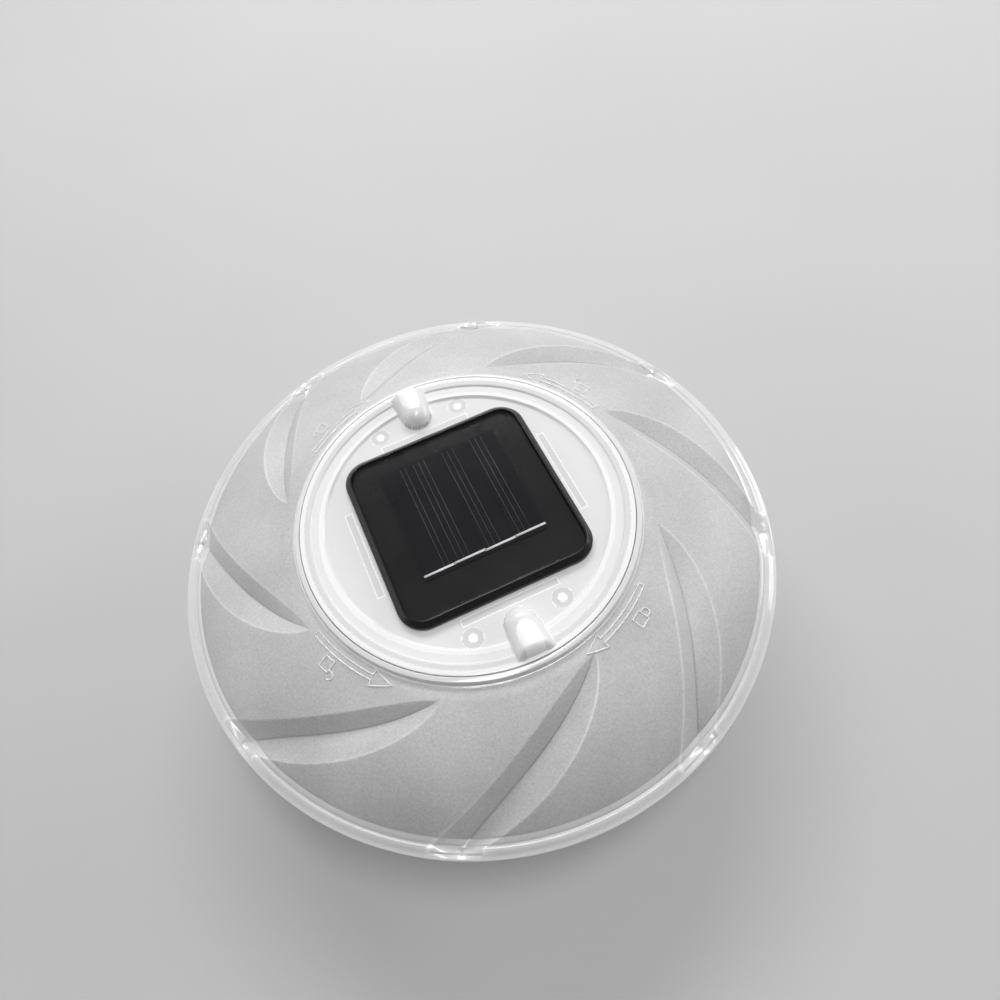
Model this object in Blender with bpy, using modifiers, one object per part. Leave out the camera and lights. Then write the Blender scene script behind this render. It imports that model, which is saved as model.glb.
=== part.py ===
"""Floating solar pool light: a two-part hollow float with a twist-lock lamp core.

Sizes are in millimetres and become metres through MM when a mesh is made.
The frame is +Z up, origin at the centre of the flat foot, X and Y along the
sides of the solar panel. The core (cap, cup, panel, board and battery) turns
about +Z in the float's neck; the power button slides along +Z in the cup floor.
"""
import math

import bmesh
import bpy
from mathutils import Matrix, Vector

MM = 0.001
GAP = 0.3
FLOAT_STEPS = 72
CORE_STEPS = 56

# Float: outer size, wall, rim plane, neck that holds the core
RIM_R = 90.0
RIM_Z = 40.0
FLOAT_WALL = 1.6
FROST_R = 84.6
NECK_R = 46.6
COLLAR_R = 48.4
COLLAR_TOP_Z = 59.1
LIP_R = 50.1
LIP_Z = 57.1
DOME_R = 54.0
DOME_Z = 56.9
SEAT_Z = 54.6
NECK_FOOT_Z = 44.5
FOOT_R = 29.0

# Swirl grooves pressed into both float halves
GROOVES = 8
GROOVE_TIP_DEG = 14.4
GROOVE_TIP_R = 54.0
GROOVE_RUN = 33.0
GROOVE_DEPTH = 2.2

# Bayonet between neck and cup
BAYONETS = 3
BAYONET_SPAN_DEG = 26.0
BAYONET_DEG = 90.0
LEDGE_R = 44.9
LEDGE_TOP_Z = 46.5
LUG_R = 45.9
LUG_Z = (42.1, 44.1)

# Core cap and cup
CAP_R = 48.05
CAP_RING_Z = 59.2
CAP_FACE_Z = 58.0
CAP_UNDER_Z = 56.5
CUP_R = 44.5
CUP_WALL = 1.6
CUP_FLANGE_R = 47.9
CUP_FLANGE_Z = 56.1
CUP_FLOOR_Z = 22.5
CUP_FLOOR = 1.6
SCREW_X = 13.0
SCREW_Y = 35.6
BOSS_R = 3.0
BOSS_FOOT_Z = 50.8
COLUMN_R = 4.0
COLUMN_TOP_Z = 48.9
HEAD_SEAT_Z = 45.9
GRIP_NOSE_R = 32.8
GRIP_END_R = 46.9
GRIP_HALF = 5.5
GRIP_TOP_Z = 63.2
GRIP_WALL = 1.5
GRIP_HOLLOW_END_R = 40.4
RIB_Y = 30.7
RIB_X = 31.0
RIB_HALF_LENGTH = 14.0
RIB_HALF_WIDTH = 0.9
RIB_Z = (54.4, 57.0)
PILOT_R = 1.3
WIRE_HOLE = (-21.0, -18.0)
WIRE_HOLE_R = 2.6
BOARD_POST_X = 34.5
BOARD_POST_R = 2.6

# O-rings: centre radius, section radius, height
CORE_O_RING = (45.6, 0.55, 56.98)
LOCK_O_RING = (45.55, 0.75, 53.85)
O_RING_STEPS = 48
O_RING_SIDES = 6

# Solar panel block
PANEL = 57.4
PANEL_CORNER = 7.5
PANEL_RIM = 1.9
PANEL_FOOT_Z = 58.2
PANEL_TOP_Z = 60.9
TRAY_FLOOR_Z = 58.8
CELLS = 4
CELL_WIDTH = 9.25
CELL_Y = (-16.2, 21.0)
CELL_Z = (59.8, 60.0)
CELL_GAP = 0.1
RIBBON_Y = -14.8
RIBBON_HALF = 0.3
RIBBON_Z = (60.08, 60.2)
COVER_FOOT_Z = 60.3
CORNER_STEPS = 6

# Plates, board, battery
REFLECTOR_Z = (49.2, 50.5)
REFLECTOR_R = 40.6
BOARD_Z = (30.3, 31.9)
BOARD_R = 41.0
LEDS = 6
LED_RING_R = 20.0
LED_SIDE = 5.0
LED_HEIGHT = 1.5
CELL_BODY_R = 7.25
CELL_BODY_LEN = 49.5
CELL_NUB_LEN = 1.0
CELL_NUB_R = 2.75
HOLDER_INNER = (58.4, 16.0)
HOLDER_WALL = 1.2
HOLDER_Z = (32.2, 44.2)
BATTERY_X0 = -22.3
SPRING_TURNS = 3.5
SPRING_WIDE_R = 4.6
SPRING_TIP_R = 2.4
SPRING_WIRE_R = 0.4
LEAD_R = 0.6

# Power button, under the cup floor
BUTTON_Y = -29.0
BUTTON_R = 3.5
BUTTON_FLANGE_R = 5.0
BUTTON_HOLE_R = 3.9
BUTTON_TIP_Z = 20.9
BUTTON_FLANGE_Z = (25.1, 25.7)
SWITCH_SIDE = 6.2
SWITCH_STEM_Z = 26.9
SEAL_RING = (3.9, 5.4)
SEAL_HEIGHT = 0.4


def clear_scene():
    for obj in list(bpy.data.objects):
        bpy.data.objects.remove(obj, do_unlink=True)


def new_collection(name):
    collection = bpy.data.collections.new(name)
    bpy.context.scene.collection.children.link(collection)
    return collection


def material(name, colour, roughness, metallic=0.0, alpha=1.0):
    mat = bpy.data.materials.new(name)
    mat.use_nodes = True
    shader = mat.node_tree.nodes["Principled BSDF"]
    shader.inputs["Base Color"].default_value = (*colour, 1.0)
    shader.inputs["Roughness"].default_value = roughness
    shader.inputs["Metallic"].default_value = metallic
    shader.inputs["Alpha"].default_value = alpha
    mat.diffuse_color = (*colour, alpha)
    return mat


def add(name, data, mat=None):
    """Put mesh or curve data in the light's collection; no material means a cutter."""
    obj = bpy.data.objects.new(name, data)
    if mat is None:
        cutters.objects.link(obj)
        obj.hide_render = True
        obj.display_type = "WIRE"
    else:
        light.objects.link(obj)
        data.materials.append(mat)
    return obj


def from_bmesh(name, bm, mat=None):
    mesh = bpy.data.meshes.new(name)
    bmesh.ops.recalc_face_normals(bm, faces=bm.faces)
    bm.to_mesh(mesh)
    bm.free()
    return add(name, mesh, mat)


def bake(obj):
    """Swap an object's modifiers, or its curve, for the plain mesh they make."""
    graph = bpy.context.evaluated_depsgraph_get()
    mesh = bpy.data.meshes.new_from_object(obj.evaluated_get(graph))
    bm = bmesh.new()
    bm.from_mesh(mesh)
    bmesh.ops.remove_doubles(bm, verts=bm.verts, dist=0.00001)
    bm.to_mesh(mesh)
    bm.free()
    new = bpy.data.objects.new(obj.name, mesh)
    new.matrix_world = obj.matrix_world
    new.hide_render = obj.hide_render
    new.display_type = obj.display_type
    for collection in list(obj.users_collection):
        collection.objects.link(new)
    name = obj.name
    bpy.data.objects.remove(obj, do_unlink=True)
    new.name = name
    return new


def smooth(obj, angle_deg=32.0):
    obj.data.shade_smooth()
    obj.data.set_sharp_from_angle(angle=math.radians(angle_deg))
    return obj


def turned(name, profile, mat=None, steps=CORE_STEPS, closed=False):
    """Turn (radius, z) points about Z; the profile runs down the outer side."""
    mesh = bpy.data.meshes.new(name)
    verts = [(r * MM, 0.0, z * MM) for r, z in profile]
    edges = [(i, i + 1) for i in range(len(verts) - 1)]
    if closed:
        edges.append((len(verts) - 1, 0))
    mesh.from_pydata(verts, edges, [])
    obj = add(name, mesh, mat)
    screw = obj.modifiers.new("turn", "SCREW")
    screw.axis = "Z"
    screw.steps = steps
    screw.render_steps = steps
    screw.use_merge_vertices = True
    screw.merge_threshold = 0.00001
    screw.use_smooth_shade = False
    return bake(obj)


def box(name, low, high, mat=None, bevel=0.0):
    bm = bmesh.new()
    bmesh.ops.create_cube(bm, size=1.0)
    size = Vector(high) - Vector(low)
    middle = (Vector(high) + Vector(low)) / 2
    bmesh.ops.scale(bm, verts=bm.verts, vec=size * MM)
    bmesh.ops.translate(bm, verts=bm.verts, vec=middle * MM)
    obj = from_bmesh(name, bm, mat)
    if bevel:
        edge = obj.modifiers.new("edge", "BEVEL")
        edge.width = bevel * MM
        edge.segments = 2
    return obj


def rod(name, radius, low_z, high_z, centre=(0.0, 0.0), mat=None, sides=24):
    bm = bmesh.new()
    bmesh.ops.create_cone(bm, cap_ends=True, segments=sides, radius1=radius * MM,
                          radius2=radius * MM, depth=(high_z - low_z) * MM)
    middle = Vector((centre[0], centre[1], (low_z + high_z) / 2))
    bmesh.ops.translate(bm, verts=bm.verts, vec=middle * MM)
    return from_bmesh(name, bm, mat)


def rounded_plate(name, side, corner, low_z, high_z, mat=None):
    """Square plate with round corners, from a 2D curve filled and extruded."""
    curve = bpy.data.curves.new(name, "CURVE")
    curve.dimensions = "2D"
    curve.fill_mode = "BOTH"
    curve.extrude = (high_z - low_z) / 2 * MM
    points = []
    for quarter in range(4):
        start = quarter * math.pi / 2
        x = (side / 2 - corner) * (1 if quarter in (0, 3) else -1)
        y = (side / 2 - corner) * (1 if quarter in (0, 1) else -1)
        for step in range(CORNER_STEPS + 1):
            angle = start + step / CORNER_STEPS * math.pi / 2
            points.append((x + corner * math.cos(angle), y + corner * math.sin(angle)))
    spline = curve.splines.new("POLY")
    spline.points.add(len(points) - 1)
    for point, (x, y) in zip(spline.points, points):
        point.co = (x * MM, y * MM, 0.0, 1.0)
    spline.use_cyclic_u = True
    obj = add(name, curve, mat)
    obj.location.z = (low_z + high_z) / 2 * MM
    bpy.context.view_layer.update()
    obj = bake(obj)
    obj.data.transform(Matrix.Translation(obj.location))
    obj.location = (0, 0, 0)
    return obj


def tube(name, points, radius, mat):
    """Round wire along the given points, with filled ends."""
    curve = bpy.data.curves.new(name, "CURVE")
    curve.dimensions = "3D"
    curve.bevel_depth = radius * MM
    curve.bevel_resolution = 2
    curve.use_fill_caps = True
    spline = curve.splines.new("POLY")
    spline.points.add(len(points) - 1)
    for point, place in zip(spline.points, points):
        point.co = (*(Vector(place) * MM), 1.0)
    add(name, curve, mat)


def boolean(obj, other, operation):
    step = obj.modifiers.new(other.name, "BOOLEAN")
    step.operation = operation
    step.object = other
    step.solver = "EXACT"


def cut(obj, *cutters_used):
    for cutter in cutters_used:
        boolean(obj, cutter, "DIFFERENCE")


def join(obj, *pieces):
    for piece in pieces:
        boolean(obj, piece, "UNION")


def smoothed_route(knots, per_span=3):
    """Catmull-Rom points through a wire's knots."""
    ends = [2 * Vector(knots[0]) - Vector(knots[1])]
    chain = ends + [Vector(k) for k in knots]
    chain.append(2 * chain[-1] - chain[-2])
    route = []
    for a, b, c, d in zip(chain, chain[1:], chain[2:], chain[3:]):
        for step in range(per_span):
            t = step / per_span
            route.append(0.5 * (2 * b + (c - a) * t + (2 * a - 5 * b + 4 * c - d) * t * t
                                + (3 * b - a - 3 * c + d) * t * t * t))
    route.append(chain[-2])
    return route


# Float halves -------------------------------------------------------------

def groove_depth(radius, angle_deg):
    """Depth of the swirl groove at a place: a V between two ridges and a valley.

    The three lines start together at the groove's tip and sweep clockwise as
    they run out to the rim; the leading wall is steep and the trailing wall wide.
    """
    run = (radius - GROOVE_TIP_R) / GROOVE_RUN
    if run <= 0.0:
        return 0.0
    run = min(run, 1.0)
    lead = -45.0 * run ** 0.55
    valley = -60.5 * run + 21.0 * run * run
    trail = -36.0 * run ** 1.3
    pitch = 360.0 / GROOVES
    offset = (angle_deg - GROOVE_TIP_DEG) % pitch - pitch
    depth = 0.0
    for turn in (offset, offset - pitch, offset + pitch):
        if lead < turn <= valley:
            depth = (turn - lead) / (valley - lead)
        elif valley < turn < trail:
            depth = (trail - turn) / (trail - valley)
    rim_fade = min(1.0, (RIM_R - radius) / (RIM_R - FROST_R))
    grow = min(1.0, 2.5 * run)
    return GROOVE_DEPTH * depth * grow * max(rim_fade, 0.0)


def press_grooves(obj, direction):
    """Sink the grooves into both skins of a float half, towards its inside."""
    for vert in obj.data.vertices:
        radius = math.hypot(vert.co.x, vert.co.y) / MM
        on_dome = abs(vert.co.z / MM - RIM_Z) > 1.0
        if on_dome and radius > GROOVE_TIP_R:
            angle = math.degrees(math.atan2(vert.co.y, vert.co.x))
            vert.co.z += direction * groove_depth(radius, angle) * MM


def swell_sectors(obj, z_low, z_high, from_r, to_r):
    """Move a wall's ring of points in or out over the bayonet sectors."""
    pitch = 360.0 / BAYONETS
    for vert in obj.data.vertices:
        radius = math.hypot(vert.co.x, vert.co.y) / MM
        z = vert.co.z / MM
        angle = math.degrees(math.atan2(vert.co.y, vert.co.x))
        offset = (angle - BAYONET_DEG + pitch / 2) % pitch - pitch / 2
        in_sector = abs(offset) < BAYONET_SPAN_DEG / 2
        if in_sector and abs(radius - from_r) < 0.05 and z_low - 0.01 < z < z_high + 0.01:
            vert.co.x *= to_r / radius
            vert.co.y *= to_r / radius


def dome_z(radius):
    """Height of the upper float: a slight slope that steepens with the cube of the run."""
    run = radius - DOME_R
    return DOME_Z - 0.232 * run - 2.235e-4 * run ** 3


def bowl_z(radius):
    """Height of the lower float: part straight, part square of the way out from the foot."""
    run = (radius - FOOT_R) / (FROST_R - FOOT_R)
    return (RIM_Z - 3.4) * (0.29 * run + 0.71 * run * run)


def upper_float_shell():
    dome = [(r, dome_z(r)) for r in (DOME_R, 61.0, 68.0, 75.0, 81.0, FROST_R)]
    rim = [(85.1, 42.5), (88.2, 41.7), (RIM_R, 41.2), (RIM_R, RIM_Z + 0.15),
           (83.6, RIM_Z + 0.15)]
    under = [(r - 0.7, z - FLOAT_WALL) for r, z in reversed(dome[1:-1])]
    neck = [(52.0, 55.0), (48.2, 53.0), (48.2, NECK_FOOT_Z), (NECK_R, NECK_FOOT_Z),
            (NECK_R, LEDGE_TOP_Z), (NECK_R, LEDGE_TOP_Z + 0.3), (NECK_R, SEAT_Z),
            (COLLAR_R, SEAT_Z), (COLLAR_R, COLLAR_TOP_Z), (COLLAR_R + 0.5, COLLAR_TOP_Z),
            (LIP_R, LIP_Z)]
    profile = dome + rim + under + neck
    shell = turned("upper_float_shell", profile, frosted, FLOAT_STEPS, closed=True)
    press_grooves(shell, -1)
    swell_sectors(shell, NECK_FOOT_Z, LEDGE_TOP_Z, NECK_R, LEDGE_R)
    smooth(shell)


def lower_float_shell():
    rim = [(RIM_R, RIM_Z - 0.15), (RIM_R, 38.8), (88.2, 38.3), (85.1, 37.5)]
    bowl = [(r, bowl_z(r)) for r in (FROST_R, 78.4, 70.0, 59.6, 48.0, 36.5, FOOT_R)]
    inside = [(r - 0.9, z + FLOAT_WALL) for r, z in reversed(bowl)]
    weld = [(83.2, RIM_Z - 0.15)]
    profile = [(0.0, FLOAT_WALL)] + inside + weld + rim + bowl + [(0.0, 0.0)]
    shell = turned("lower_float_shell", profile, frosted, FLOAT_STEPS)
    press_grooves(shell, 1)
    smooth(shell)


# Core: cap, cup and what seals them ---------------------------------------

def grip_bullet(name, side, inset):
    """Half-barrel thumb grip with a round nose, as a turned bullet laid on its side."""
    half = GRIP_HALF - inset
    nose = GRIP_NOSE_R + inset
    end = GRIP_END_R if inset == 0 else GRIP_HOLLOW_END_R
    height = GRIP_TOP_Z - CAP_FACE_Z - inset
    neck = half * 0.86
    straight = end - nose - half
    profile = [(0.0, 0.0), (half, 0.0), (half * 0.93, -straight * 0.6), (neck, -straight)]
    for step in range(1, 4):
        angle = step / 4 * math.pi / 2
        profile.append((neck * math.cos(angle), -straight - half * math.sin(angle)))
    profile.append((0.0, -straight - half))
    bullet = turned(name, profile, steps=12)
    lay = Matrix.Rotation(math.radians(-90), 4, "X")
    stretch = Matrix.Diagonal((1.0, 1.0, height / half, 1.0))
    place = Matrix.Translation(Vector((0.0, end, CAP_FACE_Z)) * MM)
    turn = Matrix.Rotation(0.0 if side > 0 else math.pi, 4, "Z")
    bullet.data.transform(turn @ place @ stretch @ lay)
    trim_below(bullet, CAP_FACE_Z - 0.1 if inset == 0 else CAP_UNDER_Z - 1)
    return bullet


def trim_below(obj, z):
    """Cut a closed mesh off flat at height z and cap it."""
    bm = bmesh.new()
    bm.from_mesh(obj.data)
    geometry = bm.verts[:] + bm.edges[:] + bm.faces[:]
    bmesh.ops.bisect_plane(bm, geom=geometry, plane_co=(0, 0, z * MM), plane_no=(0, 0, 1),
                           clear_inner=True)
    bmesh.ops.holes_fill(bm, edges=[e for e in bm.edges if e.is_boundary])
    bmesh.ops.recalc_face_normals(bm, faces=bm.faces)
    bm.to_mesh(obj.data)
    bm.free()


def screw_places():
    return [(x, y) for x in (-SCREW_X, SCREW_X) for y in (-SCREW_Y, SCREW_Y)]


def post_places():
    return [(-BOARD_POST_X, 0.0), (BOARD_POST_X, 0.0)]


def core_cap():
    skirt = [(46.7, 56.4), (46.7, 57.8), (44.5, 57.8), (44.5, 56.4), (42.6, 56.4),
             (42.6, 53.6), (41.2, 53.6), (41.2, CAP_UNDER_Z), (0.0, CAP_UNDER_Z)]
    top = [(0.0, CAP_FACE_Z), (40.6, CAP_FACE_Z), (41.3, 58.7), (44.6, 58.7), (45.1, CAP_RING_Z),
           (47.7, CAP_RING_Z), (CAP_R, 58.9), (CAP_R, 56.4)]
    cap = turned("core_cap", top + skirt, clear)
    for index, (x, y) in enumerate(screw_places()):
        join(cap, rod(f"boss_{index}", BOSS_R, BOSS_FOOT_Z, 57.2, (x, y), sides=16))
        cut(cap, rod(f"pilot_{index}", PILOT_R, BOSS_FOOT_Z - 1, 55.6, (x, y), sides=8))
    low, high = RIB_Z
    for side in (-1, 1):
        y = side * RIB_Y
        join(cap, box(f"rib_y{side}", (-RIB_HALF_LENGTH, y - RIB_HALF_WIDTH, low),
                      (RIB_HALF_LENGTH, y + RIB_HALF_WIDTH, high)))
        x = side * RIB_X
        join(cap, box(f"rib_x{side}", (x - RIB_HALF_WIDTH, -RIB_HALF_LENGTH, low),
                      (x + RIB_HALF_WIDTH, RIB_HALF_LENGTH, high)))
        join(cap, grip_bullet(f"grip_{side}", side, 0.0))
        cut(cap, grip_bullet(f"grip_hollow_{side}", side, GRIP_WALL))
    cut(cap, rod("wire_hole", WIRE_HOLE_R, CAP_UNDER_Z - 1, CAP_FACE_Z + 1, WIRE_HOLE, sides=16))


def core_cup():
    floor_top = CUP_FLOOR_Z + CUP_FLOOR
    inner = CUP_R - CUP_WALL
    inside = [(0.0, floor_top), (40.8, floor_top), (42.3, floor_top + 1.0), (inner, floor_top + 3.0),
              (inner, CUP_FLANGE_Z)]
    outside = [(CUP_FLANGE_R, CUP_FLANGE_Z), (CUP_FLANGE_R, 54.9), (CUP_R, 54.9), (CUP_R, 52.8),
               (LUG_R, 52.8), (LUG_R, 51.6), (CUP_R, 51.6), (CUP_R, LUG_Z[1] + 0.1),
               (CUP_R, LUG_Z[1]), (CUP_R, LUG_Z[0]), (CUP_R, LUG_Z[0] - 0.1), (CUP_R, 27.0),
               (43.4, 24.0), (41.2, CUP_FLOOR_Z), (0.0, CUP_FLOOR_Z)]
    cup = turned("core_cup", inside + outside, clear)
    swell_sectors(cup, LUG_Z[0], LUG_Z[1], CUP_R, LUG_R)
    for index, (x, y) in enumerate(screw_places()):
        join(cup, rod(f"column_{index}", COLUMN_R, CUP_FLOOR_Z + 0.4, COLUMN_TOP_Z, (x, y), sides=16))
        cut(cup, rod(f"head_well_{index}", 2.7, CUP_FLOOR_Z - 1, HEAD_SEAT_Z, (x, y), sides=12))
        cut(cup, rod(f"shank_hole_{index}", 1.4, HEAD_SEAT_Z - 1, COLUMN_TOP_Z + 1, (x, y), sides=8))
    board_low = BOARD_Z[0]
    for index, place in enumerate(post_places()):
        join(cup, rod(f"board_post_{index}", BOARD_POST_R, CUP_FLOOR_Z + 0.4, board_low - GAP, place,
                      sides=16))
        cut(cup, rod(f"post_pilot_{index}", 1.1, floor_top + 1.5, board_low + 1, place, sides=12))
    cut(cup, rod("button_hole", BUTTON_HOLE_R, CUP_FLOOR_Z - 1, floor_top + 1, (0.0, BUTTON_Y)))


def o_ring(name, size):
    """O-ring as a turned round section; size is its centre radius, section radius and height."""
    centre_r, section_r, z = size
    angles = [-2 * math.pi * i / O_RING_SIDES for i in range(O_RING_SIDES)]
    profile = [(centre_r + section_r * math.cos(a), z + section_r * math.sin(a)) for a in angles]
    smooth(turned(name, profile, silicone, O_RING_STEPS, closed=True), 80)


def screw(name, place, head_z, tip_z, head_r, shank_r):
    """Pan-head screw; the head's flat side faces the tip."""
    up = 1 if tip_z > head_z else -1
    head = 1.5 * up
    profile = [(0.0, tip_z), (shank_r * 0.5, tip_z - 0.5 * up), (shank_r, tip_z - 1.2 * up),
               (shank_r, head_z), (head_r, head_z), (head_r, head_z - head * 0.6),
               (head_r * 0.7, head_z - head), (0.0, head_z - head)]
    if up < 0:
        profile.reverse()
    x, y = place
    body = turned(name, profile, steel, steps=12)
    body.data.transform(Matrix.Translation(Vector((x, y, 0.0)) * MM))
    low, high = sorted((head_z - head * 0.5, head_z - head * 1.5))
    reach = head_r * 0.6
    cut(body, box(f"{name}_slot", (x - reach, y - 0.3, low), (x + reach, y + 0.3, high)))


# Solar panel ---------------------------------------------------------------

def panel_tray():
    tray = rounded_plate("panel_tray", PANEL, PANEL_CORNER, PANEL_FOOT_Z, PANEL_TOP_Z, black)
    round_top = tray.modifiers.new("round_top", "BEVEL")
    round_top.width = 1.3 * MM
    round_top.segments = 3
    round_top.limit_method = "ANGLE"
    pocket = rounded_plate("panel_pocket", PANEL - 2 * PANEL_RIM, PANEL_CORNER - PANEL_RIM,
                           TRAY_FLOOR_Z, PANEL_TOP_Z + 1)
    cut(tray, pocket)
    cut(tray, rod("tray_hole", WIRE_HOLE_R, PANEL_FOOT_Z - 1, TRAY_FLOOR_Z + 1, WIRE_HOLE, sides=16))


def solar_stack():
    inner = PANEL - 2 * PANEL_RIM - 2 * GAP
    corner = PANEL_CORNER - PANEL_RIM - GAP
    cell_low, cell_high = CELL_Z
    rounded_plate("solar_backboard", inner, corner, TRAY_FLOOR_Z + 0.1, cell_low - 0.1, board_black)
    rounded_plate("panel_cover", inner, corner, COVER_FOOT_Z, PANEL_TOP_Z, panel_glass)
    left = -CELLS * CELL_WIDTH / 2
    for index in range(CELLS):
        x = left + index * CELL_WIDTH
        box(f"solar_cell_{index + 1}", (x + CELL_GAP, CELL_Y[0], cell_low),
            (x + CELL_WIDTH - CELL_GAP, CELL_Y[1], cell_high), silicon)
    box("busbar_ribbon", (left + 2 * CELL_GAP, RIBBON_Y - RIBBON_HALF, RIBBON_Z[0]),
        (-left - 2 * CELL_GAP, RIBBON_Y + RIBBON_HALF, RIBBON_Z[1]), tinned)


# Inner plates, board, light sources, battery --------------------------------

def reflector_plate():
    low, high = REFLECTOR_Z
    plate = rod("reflector_plate", REFLECTOR_R, low, high, mat=white, sides=48)
    for index, place in enumerate(screw_places()):
        cut(plate, rod(f"plate_hole_{index}", 1.5, low - 1, high + 1, place, sides=12))
    cut(plate, box("plate_notch", (-42, -21, low - 1), (-34, -15, high + 1)))


def main_board():
    low, high = BOARD_Z
    board = rod("main_board", BOARD_R, low, high, mat=green, sides=48)
    for index, place in enumerate(screw_places()):
        cut(board, rod(f"board_hole_{index}", COLUMN_R + 0.5, low - 1, high + 1, place, sides=16))
    for index, place in enumerate(post_places()):
        cut(board, rod(f"board_screw_hole_{index}", PILOT_R, low - 1, high + 1, place, sides=12))


def lamp_led(index):
    """Square surface-mount lamp under the board, lens pointing down."""
    angle = 2 * math.pi * index / LEDS
    x, y = LED_RING_R * math.cos(angle), LED_RING_R * math.sin(angle)
    half = LED_SIDE / 2
    top = BOARD_Z[0] - 0.1
    box(f"led_{index + 1}", (x - half, y - half, top - LED_HEIGHT), (x + half, y + half, top),
        led_white, bevel=0.2)


def board_parts():
    top = BOARD_Z[1] + 0.1
    box("controller_ic", (11.0, -22.0, top), (16.0, -18.0, top + 1.6), black, bevel=0.2)
    rod("inductor", 2.9, top, top + 5.0, (-12.0, -20.0), ferrite)
    rod("capacitor", 3.1, top, top + 8.0, (-22.0, 18.0), can_black)
    box("resistor_1", (18.0, 16.0, top), (21.2, 17.6, top + 0.6), black)
    box("resistor_2", (18.0, 20.0, top), (21.2, 21.6, top + 0.6), black)
    low = BOARD_Z[0] - 0.1
    half = SWITCH_SIDE / 2
    switch = box("tact_switch", (-half, BUTTON_Y - half, low - 3.0), (half, BUTTON_Y + half, low), steel)
    join(switch, rod("tact_stem", 1.6, SWITCH_STEM_Z, low - 1.0, (0.0, BUTTON_Y), sides=16))


def battery():
    axis_z = HOLDER_Z[0] + HOLDER_WALL + GAP + CELL_BODY_R
    far, tip = -CELL_BODY_LEN, -CELL_BODY_LEN - CELL_NUB_LEN
    shoulder = CELL_BODY_R - 0.4
    profile = [(0.0, 0.0), (shoulder, 0.0), (CELL_BODY_R, -0.4), (CELL_BODY_R, far + 0.4),
               (shoulder, far), (CELL_NUB_R, far), (CELL_NUB_R, tip), (0.0, tip)]
    cell = turned("battery_cell", profile, green_wrap, steps=24)
    cell.data.transform(Matrix.Translation(Vector((BATTERY_X0, 0.0, axis_z)) * MM)
                        @ Matrix.Rotation(math.radians(-90), 4, "Y"))
    smooth(cell)
    half_x = HOLDER_INNER[0] / 2
    half_y = HOLDER_INNER[1] / 2
    wall = HOLDER_WALL
    low, high = HOLDER_Z
    holder = box("battery_holder", (-half_x - wall, -half_y - wall, low),
                 (half_x + wall, half_y + wall, high), black)
    cut(holder, box("holder_well", (-half_x, -half_y, low + wall), (half_x, half_y, high + 1)))
    plate_x = BATTERY_X0 + CELL_BODY_LEN + CELL_NUB_LEN + GAP
    box("contact_plate", (plate_x, -5.0, axis_z - 5.5), (plate_x + 0.4, 5.0, axis_z + 4.5), tinned)
    contact_spring(axis_z, -half_x + GAP + 0.5, BATTERY_X0 - GAP - 0.5)


def contact_spring(axis_z, x_wide, x_tip):
    """Conical battery spring: wide turns on the wall, small end on the cell."""
    count = int(SPRING_TURNS * 10)
    points = []
    for step in range(count + 1):
        t = step / count
        angle = 2 * math.pi * SPRING_TURNS * t
        radius = SPRING_WIDE_R + (SPRING_TIP_R - SPRING_WIDE_R) * t
        points.append((x_wide + (x_tip - x_wide) * t, radius * math.cos(angle),
                       axis_z + radius * math.sin(angle)))
    tube("contact_spring", points, SPRING_WIRE_R, tinned)


def solar_wires():
    """Two leads from the panel, under the cap and down past the plate to the board."""
    for name, y, mat in (("solar_wire_red", -16.8, wire_red), ("solar_wire_black", -19.2, wire_black)):
        knots = [(-21.0, y, 58.5), (-21.4, y, 56.0), (-24.5, y, 53.2), (-30.0, y, 52.4),
                 (-35.2, y, 51.4), (-36.6, y, 47.5), (-35.6, y, 40.0), (-33.6, y, 34.5), (-33.2, y, 32.3)]
        tube(name, smoothed_route(knots), LEAD_R, mat)


def power_button():
    """Round push button with an inner flange; its origin lies on its slide axis."""
    low, high = BUTTON_FLANGE_Z
    profile = [(0.0, high), (BUTTON_FLANGE_R, high), (BUTTON_FLANGE_R, low), (BUTTON_R, low),
               (BUTTON_R, BUTTON_TIP_Z + 0.5), (BUTTON_R - 0.5, BUTTON_TIP_Z), (0.0, BUTTON_TIP_Z)]
    button = turned("power_button", [(r, z - BUTTON_TIP_Z) for r, z in profile], rubber_grey, steps=24)
    button.location = Vector((0.0, BUTTON_Y, BUTTON_TIP_Z)) * MM
    floor_top = CUP_FLOOR_Z + CUP_FLOOR
    inner, outer = SEAL_RING
    foot, top = floor_top + GAP, floor_top + GAP + SEAL_HEIGHT
    washer = [(outer, top), (outer, foot), (inner, foot), (inner, top)]
    seal = turned("button_seal", washer, silicone, steps=24, closed=True)
    seal.data.transform(Matrix.Translation(Vector((0.0, BUTTON_Y, 0.0)) * MM))


clear_scene()
light = new_collection("floating_pool_light")
cutters = new_collection("cutters")

frosted = material("frosted_shell", (0.80, 0.80, 0.81), 0.45, alpha=0.9)
clear = material("clear_core", (0.92, 0.93, 0.95), 0.15, alpha=0.6)
black = material("black_plastic", (0.02, 0.02, 0.024), 0.3)
board_black = material("black_board", (0.015, 0.015, 0.02), 0.5)
panel_glass = material("panel_resin", (0.03, 0.03, 0.04), 0.08, alpha=0.4)
silicon = material("silicon", (0.02, 0.02, 0.04), 0.25)
tinned = material("tinned_metal", (0.85, 0.85, 0.86), 0.3, 1.0)
white = material("white_plastic", (0.9, 0.9, 0.9), 0.5)
green = material("green_board", (0.05, 0.25, 0.1), 0.5)
led_white = material("led_package", (0.95, 0.93, 0.8), 0.4)
ferrite = material("ferrite", (0.1, 0.1, 0.1), 0.6)
can_black = material("capacitor_sleeve", (0.03, 0.03, 0.05), 0.4)
steel = material("steel", (0.6, 0.6, 0.62), 0.35, 1.0)
green_wrap = material("battery_wrap", (0.1, 0.4, 0.2), 0.35)
rubber_grey = material("button_rubber", (0.3, 0.3, 0.32), 0.6)
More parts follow.
